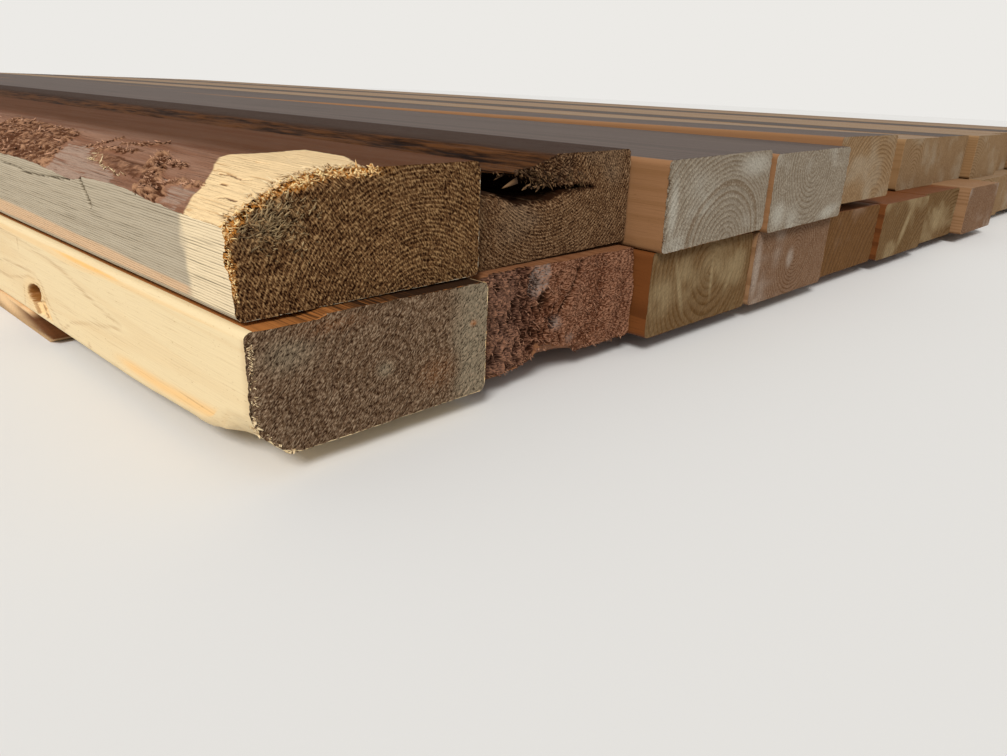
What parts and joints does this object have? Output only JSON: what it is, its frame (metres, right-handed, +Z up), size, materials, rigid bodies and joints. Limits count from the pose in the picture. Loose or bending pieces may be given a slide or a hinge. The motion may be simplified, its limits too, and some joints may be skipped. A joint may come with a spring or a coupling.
{
  "type": "stack of lumber",
  "caption": "Loose two-layer stack of rough and planed framing boards lying face to face on thin crosswise laths.",
  "frame": {"origin": "on the floor, under the middle of the stack", "axes": "+X across the boards, from the waney left side to the right; +Y along the boards, away from the near ends; +Z up"},
  "size_m": [1.1814, 2.4784, 0.09],
  "materials": {
    "planed_spruce": "planed, oiled by its own resin",
    "red_torn_fir": "rough sawn, torn fibres",
    "golden_pine": "sawn, waxy",
    "pinkish_fir": "sawn",
    "weathered_fir": "rough sawn, weathered brown",
    "bark_scarred_fir": "rough sawn, with ingrown bark",
    "pale_spruce": "sawn",
    "plain_spruce": "sawn",
    "lath_wood": "rough sawn"
  },
  "bodies": {
    "root": {"lath_near": "lath_wood", "lath_middle": "lath_wood", "lath_far": "lath_wood", "lower_board_01": "planed_spruce", "lower_board_02": "red_torn_fir", "lower_board_03": "golden_pine", "lower_board_04": "pinkish_fir", "lower_board_05": "red_torn_fir", "lower_board_06": "golden_pine", "lower_board_07": "golden_pine", "lower_board_08": "pinkish_fir", "lower_board_09": "plain_spruce", "lower_board_10": "plain_spruce", "lower_board_11": "plain_spruce", "lower_board_12": "plain_spruce", "lower_board_13": "plain_spruce", "upper_board_01": "weathered_fir", "upper_board_02": "bark_scarred_fir", "upper_board_03": "pale_spruce", "upper_board_04": "pale_spruce", "upper_board_05": "pale_spruce", "upper_board_06": "plain_spruce", "upper_board_07": "plain_spruce", "upper_board_08": "plain_spruce", "upper_board_09": "plain_spruce", "upper_board_10": "plain_spruce", "upper_board_11": "plain_spruce", "upper_board_12": "plain_spruce", "upper_board_13": "plain_spruce"}
  },
  "joints": []
}
